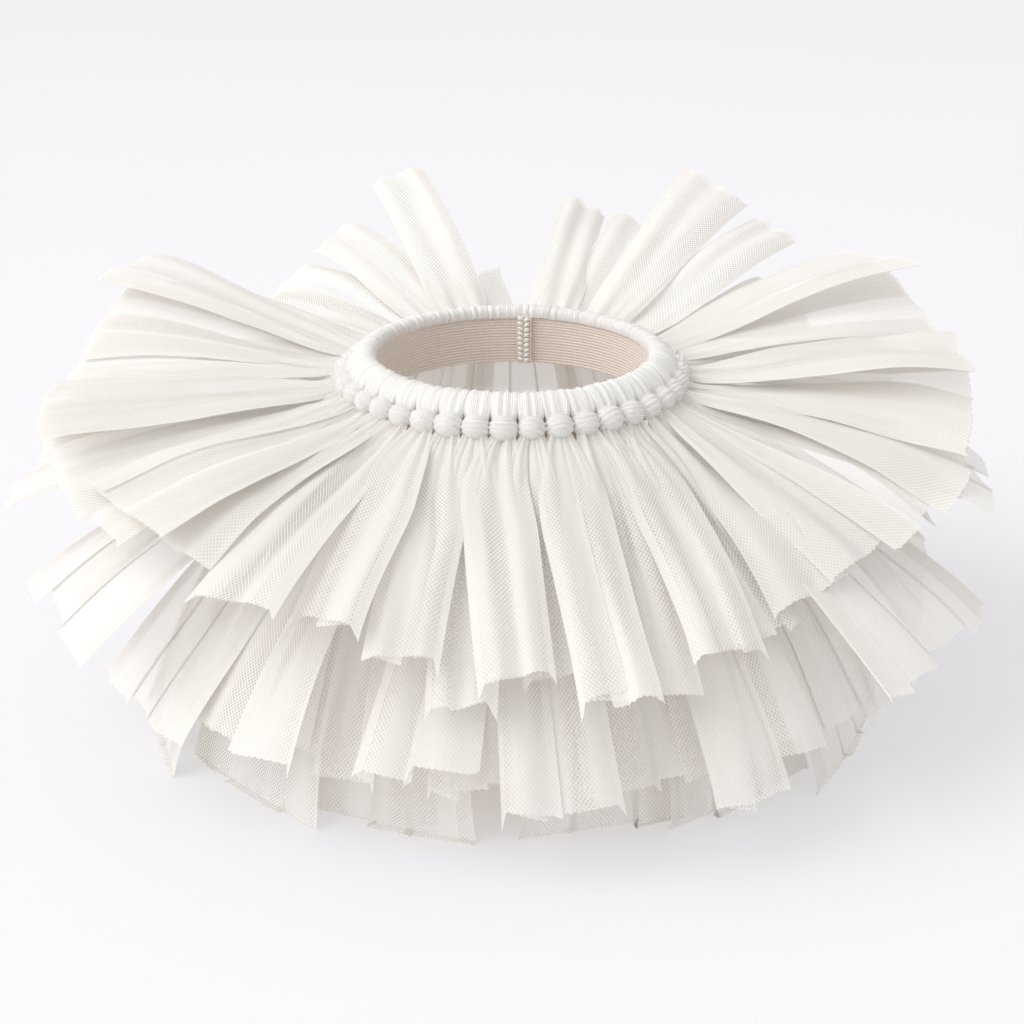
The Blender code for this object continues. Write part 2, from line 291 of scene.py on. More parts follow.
# %% Gathered tulle
RIDGE = 0.0007  # from one gathered ridge to the next
WAVE_REPEAT = 0.314  # a wave texture whose scale is 1 repeats after this many units

# Many dull threads side by side: softer than one layer, with a little more sheen.
gathered_tulle, on_gather = new_finish(
    "gathered_nylon_tulle", "UV", Roughness=0.7, Sheen_Weight=0.3, Sheen_Roughness=0.5,
    Specular_IOR_Level=0.3, IOR=1.53,
)
gather_wave = add_node(
    gathered_tulle, "ShaderNodeTexWave", {"Vector": on_gather}, bands_direction="X",
    sockets={"Scale": WAVE_REPEAT / RIDGE, "Distortion": 2.2, "Detail": 2.0, "Detail Scale": 1.2},
    out="Fac",
)
# Painted shade: the tone is a little darker in the valleys between the ridges, where the bump is low.
gather_tone_with_painted_shade = add_node(
    gathered_tulle, "ShaderNodeMix", {0: gather_wave}, data_type="RGBA",
    sockets={6: linear("#F9F5F0"), 7: linear("#FEFCFA")}, out=2,
)
gather_relief = add_node(
    gathered_tulle, "ShaderNodeBump", {"Height": gather_wave},
    sockets={"Strength": 0.7, "Distance": 0.0004},
)
feed(gathered_tulle, Base_Color=gather_tone_with_painted_shade, Normal=gather_relief)
print("finish:", gathered_tulle.name)

# %% [markdown]
# ## How the strips lie
#
# Every strip has an upper tail, which springs from the front of its knot, and a lower tail, which hangs
# from under it. The tables are the cutter's notes: how far each tail rises or falls, how far it turns round
# the waist, and how long and how wide it ends. The solids were made from the same values.

# %% The strips' tables
WAIST_RADIUS = 0.0667
ELASTIC_WALL = 0.0015
ELASTIC_HEIGHT = 0.0254
ELASTIC_TOP = 0.1770
WAIST_AXIS = Vector((0.0, -0.0144, 0.0))

STRIP_COUNT = 40
STRIP_PITCH = tau / STRIP_COUNT
FIRST_STRIP = radians(177.3)

Root = namedtuple("Root", "radius height dip lift_share reach")
UPPER_ROOT = Root(0.0820, 0.1655, 38, 0.35, 0.012)
LOWER_ROOT = Root(0.0835, 0.1630, 62, 0.0, 0.011)
LAST_STRETCH = 0.45  # in tail lengths, from the hem back to the middle line's last control point
SPLAY_START = 0.060  # from the knot: by there a tail has turned all the way

# Degrees above level, degrees turned round the waist, length and hem in mm.
Upper = namedtuple("Upper", "lift turn length hem")
UPPER_TAILS = [Upper(*row) for row in (
    (-14, 0, 124, 34), (-3, 2, 122, 36), (19, 3, 149, 28), (7.5, 3, 150, 28), (-1, 1, 146, 30),
    (-6, -2, 140, 36), (1, -1, 142, 44), (9.5, 2, 151, 48), (3, 1, 142, 54), (-2.5, -1, 144, 60),
    (-9, 0, 138, 74), (-4, 1, 142, 62), (-9, 1, 140, 66), (-15, 2, 134, 58), (-9, 1, 126, 48),
    (-15, -3, 118, 36), (-20.5, 6, 129, 33), (-26, 9, 117, 30), (-32, 11, 120, 30), (-39, 9, 132, 28),
    (-33, 6, 125, 30), (-39, 1, 118, 30), (-33, -4, 139, 32), (-38.5, -7, 133, 30), (-32, -8, 127, 28),
    (-37, -6, 118, 30), (-30, -7, 116, 32), (-24, -6, 118, 36), (-17, -3, 128, 48), (-9, 0, 138, 60),
    (-3, 1, 137, 70), (3, 0, 137, 64), (-3.5, 0, 146, 60), (4.5, 1, 150, 56), (11, -3, 150, 60),
    (-2, 0, 120, 42), (12.5, -3, 150, 26), (19, -2, 150, 38), (9.5, 2, 149, 30), (13, 1, 149, 24),
)]

# By degrees from the front, the same on both sides: degrees above level of the two middle tiers, their
# length and hem in mm, and where the lowest tier meets the floor, with its hem.
Lie = namedtuple("Lie", "angle middle_a middle_b middle_length middle_hem floor_radius floor_hem")
LIES = (
    Lie(0, -49, -57, 162, 46, 160, 48),
    Lie(30, -47, -55, 163, 52, 164, 52),
    Lie(50, -39, -50, 166, 68, 176, 62),
    Lie(70, -26, -40, 164, 86, 188, 72),
    Lie(90, -18, -33, 160, 88, 190, 72),
    Lie(120, -13, -28, 157, 78, 186, 68),
    Lie(150, -16, -30, 155, 62, 174, 60),
    Lie(180, -24, -36, 155, 54, 165, 54),
)
LOWER_TIERS = ("low", "middle_a", "middle_b")

TULLE_WALL = 0.0012  # the solids' own
FOOT_LENGTH = 0.011  # of the flat end that a lowest tail rests on
FOOT_EASE = 0.35  # the share of a lowest tail over which its folds flatten out
TURN_SPREAD = radians(2.5)
LIFT_SPREAD = radians(0.8)
ROLL_SPREAD = radians(5)
LENGTH_SPREAD = 0.045
HEM_CUT = 0.030
BROAD_FOLDS = 2
BROAD_FOLD_SPREAD = 0.25
BROAD_DEPTH = (0.0006, 0.0010)  # of a broad fold, at the knot and at the hem
ARCH = 0.0010  # how far a tail's middle stands out before its edges
DROOP = radians(9)
FLOOR_DROOP = radians(14)
print("upper tails:", len(UPPER_TAILS), "from", min(u.length for u in UPPER_TAILS), "mm long")

# %% [markdown]
# ## The middle line of a tail
#
# A tail leaves its knot steeply, swings out, and hangs a little at its hem. A cubic curve in the upright
# plane through its knot does that. The random draws come in the same order as they did for the solids, so
# each tail finds the same lean and the same broad folds.

# %% Where each tail goes
Tail = namedtuple("Tail", "root lift turn length hem roll strays cuts on_floor")
# By degrees from the front: how much wider soft tulle spreads than the plain solids.
UPPER_FULLNESS = ((0, 1.08), (28, 1.10), (42, 1.50), (90, 1.45), (120, 1.20), (165, 1.10), (180, 1.10))
MIDDLE_FULLNESS = ((0, 1.12), (35, 1.15), (60, 1.45), (90, 1.45), (180, 1.35))
LOWEST_FULLNESS = 1.55
LAPPED = (40, 130)  # degrees from the front, between which the upper tails lie on each other
LAP_SHARE = 0.8  # how much of the way they roll onto each other
MOST_LAP = radians(24)
BACK_ROLL = radians(24)
MIDDLE_BACK = 175  # degrees from the front, past which a tail isn't turned


def strip_angle(index):
    return FIRST_STRIP + index * STRIP_PITCH


def smooth(x):
    x = min(max(x, 0.0), 1.0)
    return x * x * (3 - 2 * x)


def blend(pair, share):
    """From the first of two values to the second."""
    return pair[0] + (pair[1] - pair[0]) * share


def between(table, x):
    """The second column of a table, read off at x in its first."""
    for (x0, y0), (x1, y1) in zip(table, table[1:]):
        if x <= x1:
            return y0 + (y1 - y0) * (x - x0) / (x1 - x0)
    return table[-1][1]


def from_front(angle):
    return 180 - abs(degrees(angle) % 360 - 180)


def lie_at(field, angle):
    return between([(row.angle, getattr(row, field)) for row in LIES], from_front(angle))


def broad_folds(length, dice):
    """How far each broad fold strays sideways, and how unevenly the hem is cut there."""
    columns = 2 * BROAD_FOLDS + 1
    strays = [dice.uniform(-1, 1) * BROAD_FOLD_SPREAD / BROAD_FOLDS for _ in range(columns)]
    cuts = [dice.uniform(-1, 1) * HEM_CUT * length for _ in range(columns)]
    strays[0] = strays[-1] = 0.0
    return strays, cuts


def lap_roll(index):
    """The roll that lays a side tail onto its two neighbours, or turns a back tail to the front."""
    angle = strip_angle(index)
    if from_front(angle) > LAPPED[1]:
        return copysign(BACK_ROLL, sin(angle)) if from_front(angle) < MIDDLE_BACK else 0.0
    sideways = LAP_SHARE if from_front(angle) > LAPPED[0] else 0.0
    before, after = (UPPER_TAILS[(index + step) % STRIP_COUNT] for step in (-1, 1))
    rise = tan(radians(after.lift)) - tan(radians(before.lift))
    length = UPPER_TAILS[index].length / 1000
    slope = rise * length / ((UPPER_ROOT.radius + length) * 2 * STRIP_PITCH)
    return sideways * max(min(atan(slope), MOST_LAP), -MOST_LAP)


def upper_tail(index, dice):
    row = UPPER_TAILS[index]
    length = row.length / 1000
    roll = dice.uniform(-1, 1) * ROLL_SPREAD + lap_roll(index)
    strays, cuts = broad_folds(length, dice)
    lift, turn = radians(row.lift), radians(row.turn)
    hem = row.hem / 1000 * between(UPPER_FULLNESS, from_front(strip_angle(index)))
    return Tail(UPPER_ROOT, lift, turn, length, hem, roll, strays, cuts, False)


def lower_tail(index, dice):
    angle = strip_angle(index)
    tier = LOWER_TIERS[min(index, STRIP_COUNT - index) % len(LOWER_TIERS)]
    lift_spread = dice.uniform(-1, 1) * LIFT_SPREAD
    turn = dice.uniform(-1, 1) * TURN_SPREAD
    spread = 1 + dice.uniform(-1, 1) * LENGTH_SPREAD
    on_floor = tier == "low"
    if on_floor:
        run = lie_at("floor_radius", angle) / 1000 - FOOT_LENGTH - LOWER_ROOT.radius
        fall = LOWER_ROOT.height - TULLE_WALL / 2
        lift, length = -atan2(fall, run), hypot(run, fall)
        hem = lie_at("floor_hem", angle) / 1000
        roll = 0.0
    else:
        lift = radians(lie_at(tier, angle)) + lift_spread
        length = lie_at("middle_length", angle) / 1000 * spread
        hem = lie_at("middle_hem", angle) / 1000
        roll = dice.uniform(-1, 1) * ROLL_SPREAD
    strays, cuts = broad_folds(length, dice)
    hem *= LOWEST_FULLNESS if on_floor else between(MIDDLE_FULLNESS, from_front(angle))
    return Tail(LOWER_ROOT, lift, turn, length, hem, roll, strays, cuts, on_floor)


def tail_curve(tail):
    """The four control points of a tail's middle line, as (radius, height)."""
    root = tail.root
    start = Vector((root.radius, root.height))
    dip = radians(root.dip) - tail.lift * root.lift_share
    first = start + Vector((cos(dip), -sin(dip))) * root.reach
    tip = start + Vector((cos(tail.lift), sin(tail.lift))) * tail.length
    last = tail.lift - (FLOOR_DROOP if tail.on_floor else DROOP)
    third = tip - Vector((cos(last), sin(last))) * (tail.length * LAST_STRETCH)
    return start, first, third, tip


def bezier(a, b, c, d, t):
    """A point of a cubic curve and its direction there."""
    u = 1 - t
    point = a * u**3 + b * (3 * u * u * t) + c * (3 * u * t * t) + d * t**3
    slope = (b - a) * (u * u) + (c - b) * (2 * u * t) + (d - c) * (t * t)
    return point, slope.normalized()


print("first strip's upper tail:", upper_tail(0, random.Random(0)).length, "m")

# %% [markdown]
# ## Folds across a tail
#
# A strip of 152 mm that ends in a hem of 30 mm lies folded. Its middle is an open panel of one or two
# layers, and at both edges it is rolled over into a dense band, which stays brighter and hides the net.
# Where a fold meets the hem, the cloth runs out into a point. We write the path across the cloth as
# corners, from -1 at one edge of the tail to 1 at the other, each with its layer's depth and its hem's cut.

# %% Folds across a tail
STRIP_WIDTH = 0.152
TAIL_COLUMNS = 60
# By degrees from the front: how wide a rolled edge is, and how far the hem runs out to a point at a fold.
BAND_WIDTH = ((0, 0.0036), (40, 0.0034), (60, 0.0024), (180, 0.0022))
HEM_POINT = ((0, 0.0085), (35, 0.0070), (60, 0.0020), (180, 0.0015))
POINTS = (0.0, 0.45, 0.8, 1.0)  # the share of it that a point may have
MOST_BAND = 0.62  # of half a panel that a rolled edge may take
BAND_SPREAD = (0.45, 1.55)
FOLD_STRAY = 0.2  # in panels
FOLD_HALF = (0.35, 0.60)  # a fold's half width between two panels, in rolled edges
UNDER_WIDTH = (0.35, 1.35)  # of the cloth that is folded under, in half panels
PANEL_HEM = 0.030  # a lower tail is folded into panels of about this width
PANEL_STEP = 0.0120  # by how much one panel of a lower tail may hang longer or shorter
HEM_SLANT = 0.0020  # by how much one side of a panel may
UNDER_STEP = 0.0060  # by how much the cloth that is folded under may
UNDER_CUT = (-1, 0.7)  # between which shares of it
LEAST_SPARE = 0.1  # half widths of the tail that are left to fold under
MIDDLE_LAYER = -0.6  # the depth that lies on the tail's middle line

Corner = namedtuple("Corner", "across depth cut dense")
Column = namedtuple("Column", "along across depth cut dense")


def fold_lines(hem, panels, band, point, dice):
    """A tail's fold lines from edge to edge: depth counts layers, and dense is about the run after each."""
    share = min(2 * band / hem, MOST_BAND / panels)
    left, right = (share * dice.uniform(*BAND_SPREAD) for _ in range(2))
    steps = [dice.uniform(-1, 1) * PANEL_STEP * (panels > 1) for _ in range(panels)]
    slants = [dice.uniform(-1, 1) * HEM_SLANT for _ in range(panels)]
    corners = [
        Corner(-1 + left, -1.0, steps[0] - slants[0], True),
        Corner(-1, -0.5, steps[0] + point * dice.choice(POINTS), True),
        Corner(-1 + left, 0.0, steps[0] - slants[0], False),
    ]
    for k in range(1, panels):
        middle = -1 + 2 * (k + dice.uniform(-FOLD_STRAY, FOLD_STRAY)) / panels
        half = share * dice.uniform(*FOLD_HALF)
        corners += [
            Corner(middle - half, 0.0, steps[k - 1] + slants[k - 1], True),
            Corner(middle + half, 0.2, steps[k - 1] + point * dice.choice(POINTS), True),
            Corner(middle - half, -0.8, steps[k] - slants[k], True),
            Corner(middle + half, -0.8, steps[k] - slants[k], False),
        ]
    corners += [
        Corner(1 - right, 0.0, steps[-1] + slants[-1], True),
        Corner(1, -0.5, steps[-1] + point * dice.choice(POINTS), True),
        Corner(1 - right, -1.0, steps[-1] + slants[-1], False),
    ]
    used = sum(abs(b.across - a.across) for a, b in zip(corners, corners[1:]))
    spare = max(2 * STRIP_WIDTH / hem - used, LEAST_SPARE) / 2
    first, last = (min(dice.uniform(*UNDER_WIDTH) / panels, spare, 2 - left - right) for _ in range(2))
    under = [step + dice.uniform(*UNDER_CUT) * UNDER_STEP for step in (steps[0], steps[-1])]
    corners.insert(0, Corner(-1 + left + first, -1.3, under[0], False))
    corners.append(Corner(1 - right - last, -1.6, under[1], False))
    flip, turn = dice.choice((-1, 1)), dice.choice((-1, 1, 1))
    return [Corner(c.across * flip, (c.depth - MIDDLE_LAYER) * turn, c.cut, c.dense) for c in corners]


def cloth_columns(tail, angle, dice):
    """The columns of a tail's grid, with each fold line on a column of its own."""
    panels = min(max(round(tail.hem / PANEL_HEM), 2), 3) if tail.root is LOWER_ROOT else 1
    band, point = (between(table, from_front(angle)) for table in (BAND_WIDTH, HEM_POINT))
    corners = fold_lines(tail.hem, panels, band, point, dice)
    runs = [abs(b.across - a.across) for a, b in zip(corners, corners[1:])]
    total = sum(runs)
    places = [0.0]
    for run in runs:
        places.append(places[-1] + run / total)
    marks = [round(p * TAIL_COLUMNS) for p in places]
    for i in range(1, len(marks)):
        marks[i] = max(marks[i], marks[i - 1] + 1)
    for i in range(len(marks) - 1, 0, -1):
        if marks[i] > TAIL_COLUMNS - len(marks) + i:
            marks[i - 1] = min(marks[i - 1], marks[i] - 1)
    marks[-1] = TAIL_COLUMNS
    columns = []
    for k, (a, b) in enumerate(zip(corners, corners[1:])):
        for j in range(marks[k], marks[k + 1] + (k == len(runs) - 1)):
            share = (j - marks[k]) / (marks[k + 1] - marks[k])
            along = blend(places[k : k + 2], share)
            across, depth, cut = (blend(pair, share) for pair in zip(a[:3], b[:3]))
            columns.append(Column(along, across, depth, cut, a.dense))
    return columns, total / 2


print("fold lines of one panel:", len(fold_lines(0.03, 1, 0.005, 0.009, random.Random(1))))

# %% [markdown]
# ## A tail
#
# A tail is one thin sheet. It starts as a flat grid, and each of its points is moved to its place along the
# middle line, across the pleats, and out by the folds. Fine gathers stand up close to the knot and die away
# towards the hem, which is cut a little differently at each fold.

# %% A tail's sizes
TAIL_ROWS = 26
# How far from the knot and how wide there: the cloth springs out of the knot, and then fans out to its hem.
UPPER_WIDTHS = (
    (0.0, 0.0110), (0.005, 0.0155), (0.012, 0.0215),
    (0.020, 0.0265), (0.032, 0.0305), (0.048, 0.0325),
)
MIDDLE_WIDTHS = ((0.0, 0.0080), (0.010, 0.0190), (0.024, 0.0330), (0.050, 0.0460))
LOWEST_WIDTHS = ((0.0, 0.0090), (0.010, 0.0260), (0.024, 0.0470), (0.050, 0.0560))
MORE_REACHES = (0.080, 0.110)
ROOT_WIDTH = 0.008
LEAST_HEM = 0.9  # of a tail's width near its knot
FAN_POWER = 0.62
FAN_ARC = 0.45  # how round a fan's hem is: 1 is an arc about its knot

FOOT_SHOWN = 0.0015  # soft cloth rests on less of its hem than the solid does
FLOOR_HEM = 0.35  # and is cut more evenly there
FLOOR_CLEARANCE = 0.0004
HEM_LEAN = 0.3  # how much of the solids' uneven hem is kept
HEM_START = 0.55  # the cut of the hem is felt from here on, as a share of the tail
HEM_TOOTH = 0.0003

LAYER_DEPTH = (0.0005, 0.0009)  # between two layers of a folded tail, at the knot and at the hem
FLAT_LAYERS = 0.15  # how much of it is left where a tail lies on the floor
LAYER_STEP = 0.0003  # between two layers on the floor
OVERLAP = 0.0010  # how far every other tail lies above its neighbours, near the knots
OVERLAP_REACH = 0.070
SHARP_EDGE = radians(50)  # a fold sharper than this keeps its edge
GATHERS_ACROSS = 7
GATHER_DEPTH = 0.0008
GATHER_FADE = 0.060
SWAY = 0.0045
WAVE_DEPTH = 0.0012
WAVES = (1.3, 0.25)  # along the tail, and across half of it
TIP_CURL = 0.0035
CURL_START = 0.75

DENSE_REACH = 0.045  # a lower tail is still drawn together this near its knot
DOUBLED = (44, 128)  # degrees from the front, between which the panels lie double
print("a tail's grid:", TAIL_COLUMNS, "by", TAIL_ROWS, "faces")

# %% Helpers for thin sheets
def from_plane(angle, radius, side, height):
    """A point of the upright plane through the waist's axis at this angle, moved sideways by side."""
    out = Vector((sin(angle), -cos(angle), 0))
    along = Vector((cos(angle), sin(angle), 0))
    return WAIST_AXIS + out * radius + along * side + Vector((0, 0, height))


def new_grid(name, columns, rows):
    """A flat grid of the given number of columns and rows, its points in rows."""
    bpy.ops.mesh.primitive_grid_add(x_subdivisions=columns, y_subdivisions=rows, size=1)
    grid = bpy.context.object
    grid.name = name
    return grid


def place_grid(grid, points, cloth):
    """Moves a grid's points, and writes their places on the flat cloth into the UV map."""
    grid.data.vertices.foreach_set("co", [c for p in points for c in p])
    uvs = grid.data.uv_layers.active.data
    for loop in grid.data.loops:
        uvs[loop.index].uv = cloth[loop.vertex_index]
    grid.data.update()


print("the front of the waist:", from_plane(0, WAIST_RADIUS, 0, ELASTIC_TOP))

# %% A tail of tulle
Row = namedtuple("Row", "t radius height run rise travelled reach")


def middle_line(tail):
    """A tail's rows from knot to hem: where each lies, and its direction there."""
    curve = tail_curve(tail)
    count = TAIL_ROWS - 1 if tail.on_floor else TAIL_ROWS
    stations = [(k / count, 0.0) for k in range(count + 1)]
    if tail.on_floor:
        stations.append((1.0, FOOT_SHOWN))
    rows = []
    travelled, before = 0.0, Vector(curve[0])
    for t, foot in stations:
        (radius, height), (run, rise) = bezier(*curve, t)
        if foot:
            run, rise = 1.0, 0.0
        radius += foot
        travelled += hypot(radius - before.x, height - before.y)
        before = Vector((radius, height))
        reach = hypot(radius - tail.root.radius, height - tail.root.height)
        rows.append(Row(t, radius, height, run, rise, travelled, reach))
    return rows


def fan(tail, reach):
    """A tail's width where it fans out from its knot to its hem, more quickly at first."""
    return ROOT_WIDTH + (tail.hem - ROOT_WIDTH) * (reach / tail.length) ** FAN_POWER


def fanned(tail, table):
    """A tail's width by its reach: near the knot what the table gives, and then the fan."""
    widths = [(r, min(max(w, fan(tail, r)), max(tail.hem, w * LEAST_HEM))) for r, w in table]
    widths += [(r, max(fan(tail, r), min(widths[-1][1], tail.hem))) for r in MORE_REACHES]
    return [*widths, (tail.length, tail.hem)]


def broad_fold(tail, x, spread, depth):
    """How far the tail's broad folds stand out at x across it."""
    last = 2 * BROAD_FOLDS
    places = [2 * j / last - 1 + tail.strays[j] * spread for j in range(last + 1)]
    heights = [depth * (1 if j % 2 else -1) for j in range(last + 1)]
    j = next(j for j in range(last) if x <= places[j + 1] or j == last - 1)
    return blend(heights[j : j + 2], smooth((x - places[j]) / (places[j + 1] - places[j])))


def hem_cut(tail, x):
    """How much longer the tail is cut at x across it."""
    place = (x + 1) / 2 * (len(tail.cuts) - 1)
    j = min(int(place), len(tail.cuts) - 2)
    return blend(tail.cuts[j : j + 2], place - j)


def make_tail(name, index, tail, table, dice):
    """One tail as a thin sheet, with its folds, its rolled edges and its hem."""
    angle = strip_angle(index)
    columns, path = cloth_columns(tail, angle, dice)
    rows = middle_line(tail)
    widths = fanned(tail, table)
    sway, curl = dice.uniform(-1, 1) * SWAY, dice.uniform(-1, 1) * TIP_CURL
    phase, wave_phase, roll_place = (dice.uniform(0, tau) for _ in range(3))
    over = OVERLAP if index % 2 else -OVERLAP  # neighbours lie over and under each other in turn
    points, cloth = [], []
    for row in rows:
        spread = smooth(row.reach / tail.length)
        flat = smooth((1 - row.t) / FOOT_EASE) if tail.on_floor else 1.0
        broad = blend(BROAD_DEPTH, spread) * flat
        layer = blend(LAYER_DEPTH, spread) * max(flat, FLAT_LAYERS)
        gather = GATHER_DEPTH * (1 - smooth(row.reach / GATHER_FADE))
        half_width = between(widths, row.reach) / 2
        lean = tail.roll * spread
        turned = tail.turn * smooth(row.reach / SPLAY_START)
        lap = over * sin(pi * min(row.reach / OVERLAP_REACH, 1.0))
        tip = smooth((row.t - CURL_START) / (1 - CURL_START)) * (0 if tail.on_floor else 1)
        end = smooth((row.t - HEM_START) / (1 - HEM_START))
        for j, column in enumerate(columns):
            x = column.across
            side = x * half_width + sway * sin(pi * row.t)
            out = broad_fold(tail, x, spread, broad) + ARCH * spread * flat * (1 - x * x)
            out += column.depth * layer + lap + curl * tip
            out += gather * sin(tau * GATHERS_ACROSS * column.along + phase)
            wave = tau * (WAVES[0] * row.t + WAVES[1] * x) + wave_phase
            out += WAVE_DEPTH * spread * flat * sin(wave)
            side, out = side * cos(lean) - out * sin(lean), side * sin(lean) + out * cos(lean)
            cut = (HEM_LEAN * hem_cut(tail, x) + column.cut) * (FLOOR_HEM if tail.on_floor else 1)
            # Every thread is as long as the next, so the hem of a fan is nearly an arc about its knot.
            cut = (cut - FAN_ARC * (x * half_width) ** 2 / (2 * tail.length)) * end
            if row is rows[-1]:
                cut += HEM_TOOTH * (1 if j % 2 else -1)
            away = row.radius - row.rise * out + row.run * cut - tail.root.radius
            point = from_plane(
                angle,
                tail.root.radius + away * cos(turned) - side * sin(turned),
                side * cos(turned) + away * sin(turned),
                row.height + row.run * out + row.rise * cut,
            )
            point.z = max(point.z, FLOOR_CLEARANCE + (column.depth + 1.0) * LAYER_STEP)
            points.append(point)
            cloth.append((column.along * path * tail.hem + roll_place, row.travelled + cut))
    grid = new_grid(name, TAIL_COLUMNS, TAIL_ROWS)
    place_grid(grid, points, cloth)
    at_side = DOUBLED[0] < from_front(angle) < DOUBLED[1]
    grid.data.materials.append(doubled_net if at_side and not tail.on_floor else tulle_net)
    grid.data.materials.append(rolled_net)
    for face in grid.data.polygons:
        gathered = tail.root is LOWER_ROOT and rows[face.index // TAIL_COLUMNS].reach < DENSE_REACH
        face.material_index = 1 if columns[face.index % TAIL_COLUMNS].dense or gathered else 0
    bpy.ops.object.shade_smooth_by_angle(angle=SHARP_EDGE)
    return grid


print("rows along the first tail:", len(middle_line(upper_tail(0, random.Random(0)))))

# %% [markdown]
# ## The gather over the elastic
#
# Between its two tails a strip lies doubled over the elastic, from the inside of its top edge, over the rim
# and down to the knot. It is a rounded bundle, widest at the rim, where it presses against its neighbours,
# and narrowest just above the knot. We loft it through the solid's sections, with soft ridges round it.

# %% The gather
# In mm, in the strip's upright plane: each section's inner point, outer point and half width, and how boxy
# it is, from 2 for an ellipse.
Gather = namedtuple("Gather", "inner_r inner_z outer_r outer_z half_width boxy")
GATHERS = [Gather(*row) for row in (
    (66.7, 174.9, 66.0, 175.4, 5.7, 8),
    (66.8, 176.4, 65.7, 177.8, 5.7, 8),
    (67.2, 177.2, 66.7, 180.0, 5.8, 8),
    (68.4, 177.3, 69.2, 181.1, 6.0, 8),
    (68.5, 176.0, 72.0, 180.6, 6.2, 8),
    (68.5, 174.5, 74.6, 179.0, 6.4, 7),
    (69.8, 171.8, 76.9, 176.8, 6.5, 6),
    (71.4, 170.0, 78.6, 174.6, 6.4, 4),
    (73.2, 168.6, 79.8, 172.4, 5.7, 3),
    (75.0, 166.9, 81.0, 170.4, 4.9, 2.4),
    (77.4, 165.2, 82.4, 168.4, 4.6, 2.0),
)]
GATHER_AROUND = 56
GATHER_LIFT = 0.0003  # how much higher or lower one bundle may lie than the next
RIDGES = (9, 13)  # two sets of soft ridges round the bundle
SECOND_RIDGES = 0.8  # how deep the second set is next to the first
RIDGE_WANDER = (0.3, 0.7)  # how far the ridges wander round the bundle, and how soon
RIDGE_DEPTH = 0.00042
BUNDLE_ROUND = 0.036  # of cloth round the bundle
SECTION_STEP = 0.003  # of cloth from one section to the next


def make_gather(name, index, dice):
    """The doubled bundle of cloth over the elastic."""
    angle = strip_angle(index)
    phases = [dice.uniform(0, tau) for _ in range(4)]
    rise = dice.uniform(-1, 1) * GATHER_LIFT
    points, cloth = [], []
    for k, row in enumerate(GATHERS):
        middle_r = (row.inner_r + row.outer_r) / 2000
        middle_z = (row.inner_z + row.outer_z) / 2000 + rise
        half_r, half_z = (row.outer_r - row.inner_r) / 2000, (row.outer_z - row.inner_z) / 2000
        half_depth = hypot(half_r, half_z)
        wander = RIDGE_WANDER[0] * sin(RIDGE_WANDER[1] * k + phases[0])
        for j in range(GATHER_AROUND + 1):
            turn = tau * (j % GATHER_AROUND) / GATHER_AROUND
            c, s = -sin(turn), -cos(turn)
            reach = (abs(c) ** row.boxy + abs(s) ** row.boxy) ** (-1 / row.boxy)
            ridges = sin(RIDGES[0] * turn + phases[1] + wander)
            ridges += SECOND_RIDGES * sin(RIDGES[1] * turn + phases[2] - wander)
            side = c * reach * row.half_width / 1000
            deep = s * reach + RIDGE_DEPTH / half_depth * ridges * s
            points.append(from_plane(angle, middle_r + deep * half_r, side, middle_z + deep * half_z))
            cloth.append((j / GATHER_AROUND * BUNDLE_ROUND + phases[3], k * SECTION_STEP))
    bundle = new_grid(name, GATHER_AROUND, len(GATHERS) - 1)
    place_grid(bundle, points, cloth)
    bundle.data.materials.append(gathered_tulle)
    bpy.ops.object.shade_smooth()
    return bundle


print("gather:", len(GATHERS), "sections from", GATHERS[0].inner_z, "to", GATHERS[-1].inner_z, "mm up")

# %% [markdown]
# ## Knots
#
# Each knot is a short barrel of tulle that is wound round the gather: four to six wraps, one above the
# other, with a sharp crease between them. Each is a ball that is shaped with its own slant and number of
# wraps, because no two knots are pulled alike.

# %% The knots
KNOT_RADIUS = 0.0801
KNOT_HEIGHT = 0.1677
KNOT_DIP = radians(53)
KNOT_HALF = Vector((0.0067, 0.0063, 0.0060))  # across, deep, and along the gather
KNOT_SIZES = (0.94, 1.05)
KNOT_CLOTH = (0.020, 0.040)  # of cloth along the knot, and round it
WRAPS = (4, 5, 5, 6)
WRAP_SLANTS = (0, 2, 4, 7, 24)  # in degrees
WRAP_DEPTH = 0.0009
WRAP_CREASE = 0.6  # the lower, the sharper the crease between two wraps
WRAP_MIDDLE = 0.7  # from here a wrap swells out, and its crease goes in
WRAP_WAVER = (0.08, 3)  # how far and how quickly a wrap wavers


